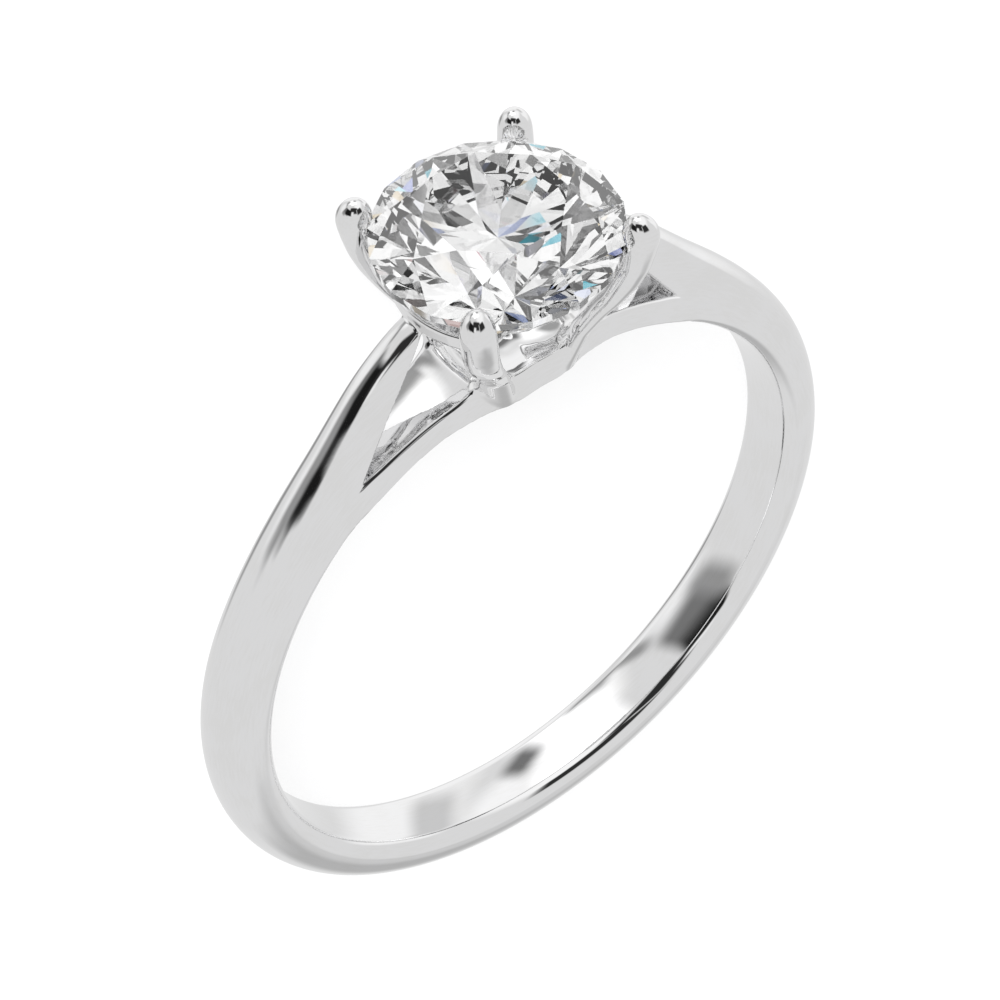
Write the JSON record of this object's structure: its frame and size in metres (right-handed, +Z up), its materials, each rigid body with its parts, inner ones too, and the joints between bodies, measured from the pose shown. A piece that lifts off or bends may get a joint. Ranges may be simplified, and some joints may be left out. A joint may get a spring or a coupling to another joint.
{
  "type": "solitaire ring",
  "caption": "Finger ring lying on its side, with a round brilliant held by claws on cathedral shoulders over a plain half-round band.",
  "frame": {"origin": "on the ground, under the middle of the ring's bounding box as it lies on its side", "axes": "+Y from the back of the band towards the stone, +Z up off the ground and 5.6 degrees from the finger's axis, +X across the finger"},
  "size_m": [0.0192, 0.0229, 0.006],
  "materials": {
    "white_gold": "mirror polished white gold",
    "diamond": "clear colourless, flat polished facets"
  },
  "bodies": {
    "root": {"mounting": "white_gold", "diamond": "diamond"}
  },
  "joints": []
}
